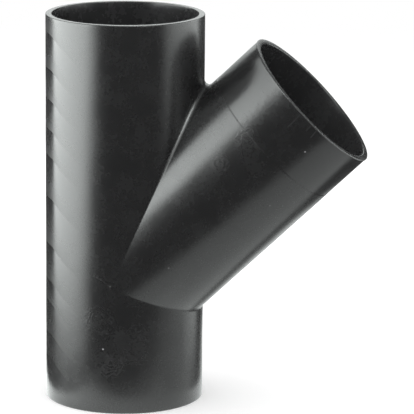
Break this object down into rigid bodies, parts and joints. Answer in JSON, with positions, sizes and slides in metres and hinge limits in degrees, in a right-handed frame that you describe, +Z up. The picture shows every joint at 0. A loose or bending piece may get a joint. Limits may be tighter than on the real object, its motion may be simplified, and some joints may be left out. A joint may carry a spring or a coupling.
{
  "type": "waste pipe branch",
  "caption": "Black moulded plastic waste pipe branch: a straight upright pipe with an equal pipe rising from its side at a slant, all ends plain spigots.",
  "frame": {"origin": "centre of the run's lower end face, which the part stands on", "axes": "+Z up the run's axis; +X to the side that the branch leans to; the part is symmetric about the XZ plane"},
  "size_m": [0.2235, 0.1106, 0.271],
  "materials": {
    "black_polyethylene": "semi-gloss as-moulded polyethylene, faintly rippled and scuffed"
  },
  "bodies": {
    "root": {"branch_body": "black_polyethylene"}
  },
  "joints": []
}
